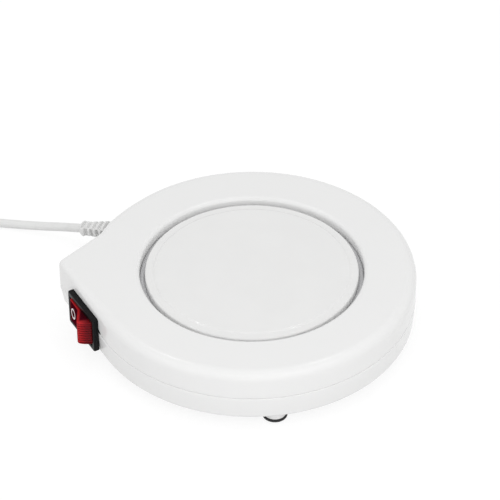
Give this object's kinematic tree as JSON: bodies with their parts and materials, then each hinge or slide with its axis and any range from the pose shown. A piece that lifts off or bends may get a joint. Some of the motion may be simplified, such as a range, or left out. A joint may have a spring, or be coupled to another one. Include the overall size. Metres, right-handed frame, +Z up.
{
  "type": "electric mug warmer",
  "caption": "Electric mug warmer: low round housing with a tail corner, sunken heated plate, red rocker switch in its flat side face, rubber feet, strain relief and coiled mains lead.",
  "frame": {"origin": "on the table, under the middle of the housing's footprint box", "axes": "+Z up out of the heated plate, +X away from the tail corner towards the round end, -Y towards the front foot"},
  "size_m": [0.2339, 0.128, 0.025],
  "materials": {
    "housing_white": "satin moulded ABS",
    "foot_rubber": "matte",
    "plate_enamel": "glossy white coating on aluminium",
    "seal_silicone": "matte silicone",
    "element_mica": "mica sheet",
    "felt": "glass fibre felt",
    "steel": "zinc plated",
    "brass": "plain",
    "ceramic": "ceramic and phenolic",
    "sleeve_white": "woven sleeve",
    "switch_black": "satin nylon",
    "rocker_red": "clear red polycarbonate",
    "lamp_glass": "neon lamp",
    "cord_white": "PVC",
    "wire_brown": "PVC",
    "wire_red": "silicone",
    "wire_blue": "PVC",
    "tie_black": "coated wire tie",
    "nickel": "nickel plated"
  },
  "bodies": {
    "housing": {"top_cover": "housing_white", "bottom_case": "housing_white", "case_screws": "steel", "rubber_feet": "foot_rubber", "heater_plate": "plate_enamel", "plate_seal": "seal_silicone", "heating_element": "element_mica", "element_tabs": "brass", "insulation_pad": "felt", "heat_shield": "steel", "plate_nuts": "steel", "thermostat": "ceramic", "thermostat_strap": "steel", "thermal_fuse": "steel", "fuse_sleeve": "sleeve_white", "switch_housing": "switch_black", "switch_terminals": "brass", "crimp_receptacles": "steel", "cord_clamp": "housing_white", "clamp_screws": "steel", "inner_cord": "cord_white", "live_wire": "wire_brown", "heater_wires": "wire_red", "neutral_wires": "wire_blue", "wire_splice": "ceramic", "strain_relief": "cord_white", "power_cord": "cord_white", "cord_coil": "cord_white", "cord_tie": "tie_black", "plug_body": "cord_white", "plug_pins": "nickel"},
    "rocker": {"switch_rocker": "rocker_red", "rocker_spring": "steel", "rocker_plunger": "ceramic", "switch_lamp": "lamp_glass"},
    "contact_lever": {"contact_lever": "brass"}
  },
  "joints": [
    {"name": "rocker_hinge", "type": "hinge", "parent": "housing", "child": "rocker", "pos_m": [-0.05551, -0.01541, 0.0129], "axis": [0, 0, 1], "range_deg": [0, 32]},
    {"name": "lever_hinge", "type": "hinge", "parent": "housing", "child": "contact_lever", "pos_m": [-0.04712, -0.01074, 0.0129], "axis": [0, 0, 1], "range_deg": [-16, 0]}
  ],
  "couplings": [
    {"joint": "lever_hinge", "follows": "rocker_hinge", "ratio": -0.5}
  ]
}
